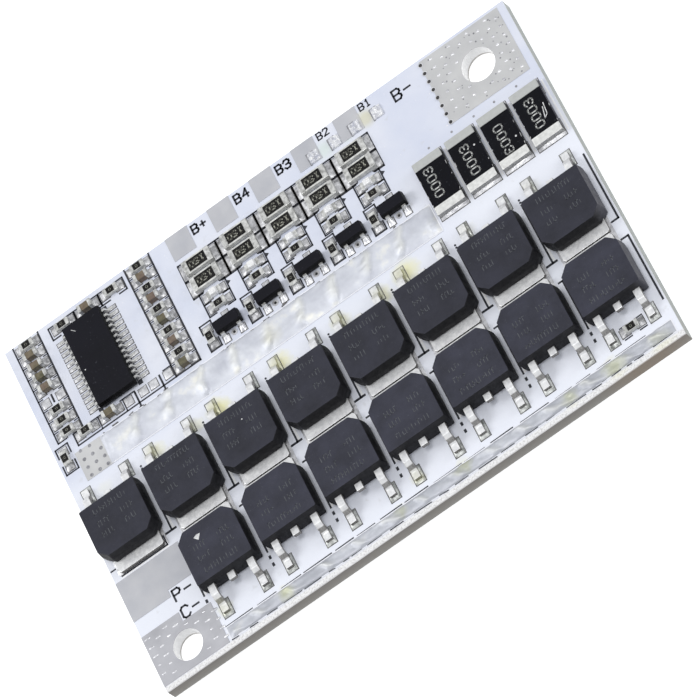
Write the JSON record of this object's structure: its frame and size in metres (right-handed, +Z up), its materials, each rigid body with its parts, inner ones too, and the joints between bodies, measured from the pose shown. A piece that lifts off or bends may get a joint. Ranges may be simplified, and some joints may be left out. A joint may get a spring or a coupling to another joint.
{
  "type": "battery management board",
  "caption": "Flat circuit board that protects and balances a battery pack, with rows of power transistors, shunts and two wire holes.",
  "frame": {"origin": "centre of the board's flat underside", "axes": "+X along the long edge, +Y towards the edge with the cell tap pads, +Z up through the board"},
  "size_m": [0.06, 0.042, 0.0039],
  "materials": {
    "solder_mask_board": "satin white solder mask",
    "tinned_pad": "hot-air levelled tin",
    "solder": "hand-laid solder, dull bright",
    "transistor_moulding": "fine matt moulding",
    "tinned_lead": "matt tin plating",
    "shunt_coat": "smooth dark coat",
    "end_cap_plating": "matt tin plating",
    "chip_moulding": "matt moulding",
    "resistor_coat": "dark coat on a white core",
    "capacitor_ceramic": "tan ceramic",
    "lamp_base": "white resin",
    "lamp_lens": "clear resin"
  },
  "bodies": {
    "root": {"b_minus_pad": "tinned_pad", "balance_lamp_bases": "lamp_base", "balance_lamp_end_caps": "end_cap_plating", "balance_lamp_lenses": "lamp_lens", "balance_transistor_bodies": "chip_moulding", "balance_transistor_leads": "tinned_lead", "bleed_resistor_bodies": "resistor_coat", "bleed_resistor_end_caps": "end_cap_plating", "bus_lands": "tinned_pad", "c_minus_pad": "tinned_pad", "cell_tap_pads": "tinned_pad", "chip_capacitor_bodies": "capacitor_ceramic", "chip_part_end_caps": "end_cap_plating", "chip_resistor_bodies": "resistor_coat", "circuit_board": "solder_mask_board", "drain_lands": "tinned_pad", "front_solder_bar": "solder", "lead_lands": "tinned_pad", "monitor_chip_body": "chip_moulding", "monitor_chip_leads": "tinned_lead", "p_minus_pad": "tinned_pad", "power_transistor_body_01": "transistor_moulding", "power_transistor_body_02": "transistor_moulding", "power_transistor_body_03": "transistor_moulding", "power_transistor_body_04": "transistor_moulding", "power_transistor_body_05": "transistor_moulding", "power_transistor_body_06": "transistor_moulding", "power_transistor_body_07": "transistor_moulding", "power_transistor_body_08": "transistor_moulding", "power_transistor_body_09": "transistor_moulding", "power_transistor_body_10": "transistor_moulding", "power_transistor_body_11": "transistor_moulding", "power_transistor_body_12": "transistor_moulding", "power_transistor_body_13": "transistor_moulding", "power_transistor_body_14": "transistor_moulding", "power_transistor_body_15": "transistor_moulding", "power_transistor_frame_01": "tinned_lead", "power_transistor_frame_02": "tinned_lead", "power_transistor_frame_03": "tinned_lead", "power_transistor_frame_04": "tinned_lead", "power_transistor_frame_05": "tinned_lead", "power_transistor_frame_06": "tinned_lead", "power_transistor_frame_07": "tinned_lead", "power_transistor_frame_08": "tinned_lead", "power_transistor_frame_09": "tinned_lead", "power_transistor_frame_10": "tinned_lead", "power_transistor_frame_11": "tinned_lead", "power_transistor_frame_12": "tinned_lead", "power_transistor_frame_13": "tinned_lead", "power_transistor_frame_14": "tinned_lead", "power_transistor_frame_15": "tinned_lead", "rear_solder_bar": "solder", "shunt_body_1": "shunt_coat", "shunt_body_2": "shunt_coat", "shunt_body_3": "shunt_coat", "shunt_body_4": "shunt_coat", "shunt_end_caps": "end_cap_plating", "shunt_lands": "tinned_pad", "small_part_lands": "tinned_pad"}
  },
  "joints": []
}
